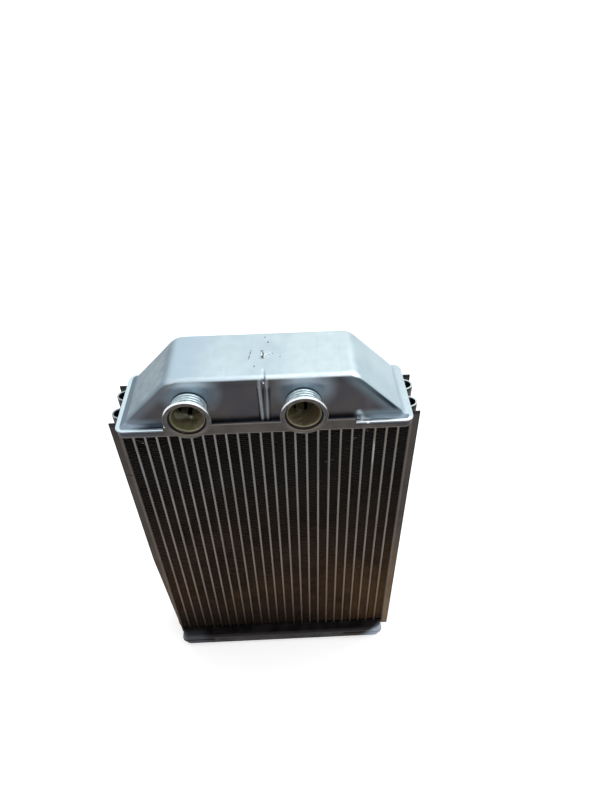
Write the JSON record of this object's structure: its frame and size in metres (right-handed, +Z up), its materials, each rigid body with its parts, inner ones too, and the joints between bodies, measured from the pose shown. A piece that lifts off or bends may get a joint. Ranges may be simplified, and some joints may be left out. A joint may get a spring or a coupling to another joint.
{
  "type": "heater core",
  "caption": "Brazed aluminium heater core: flat tubes and corrugated fins between two headers, with a deep two-port upper tank and a shallow lower tank.",
  "frame": {"origin": "centre of the lower tank's flat bottom", "axes": "+Z up along the tubes, from the lower tank to the upper one; the necks point along -Y; +X along the row of tubes"},
  "size_m": [0.1584, 0.0526, 0.2542],
  "materials": {
    "tank": "brazed satin, pressed",
    "lower_tank": "brazed dull, stained",
    "header": "brazed satin, stained",
    "baffle": "satin",
    "neck": "turned, satin",
    "side_plate": "rolled, dull",
    "tube": "extruded, dull",
    "fin": "thin strip, dark with flux"
  },
  "bodies": {
    "root": {"upper_tank": "tank", "lower_tank": "lower_tank", "upper_header": "header", "lower_header": "header", "baffle": "baffle", "inlet_neck": "neck", "outlet_neck": "neck", "side_plate_left": "side_plate", "side_plate_right": "side_plate", "tube_01": "tube", "tube_02": "tube", "tube_03": "tube", "tube_04": "tube", "tube_05": "tube", "tube_06": "tube", "tube_07": "tube", "tube_08": "tube", "tube_09": "tube", "tube_10": "tube", "tube_11": "tube", "tube_12": "tube", "tube_13": "tube", "tube_14": "tube", "tube_15": "tube", "tube_16": "tube", "tube_17": "tube", "tube_18": "tube", "tube_19": "tube", "tube_20": "tube", "tube_21": "tube", "tube_22": "tube", "tube_23": "tube", "tube_24": "tube", "fin_01": "fin", "fin_02": "fin", "fin_03": "fin", "fin_04": "fin", "fin_05": "fin", "fin_06": "fin", "fin_07": "fin", "fin_08": "fin", "fin_09": "fin", "fin_10": "fin", "fin_11": "fin", "fin_12": "fin", "fin_13": "fin", "fin_14": "fin", "fin_15": "fin", "fin_16": "fin", "fin_17": "fin", "fin_18": "fin", "fin_19": "fin", "fin_20": "fin", "fin_21": "fin", "fin_22": "fin", "fin_23": "fin", "fin_24": "fin", "fin_25": "fin"}
  },
  "joints": []
}
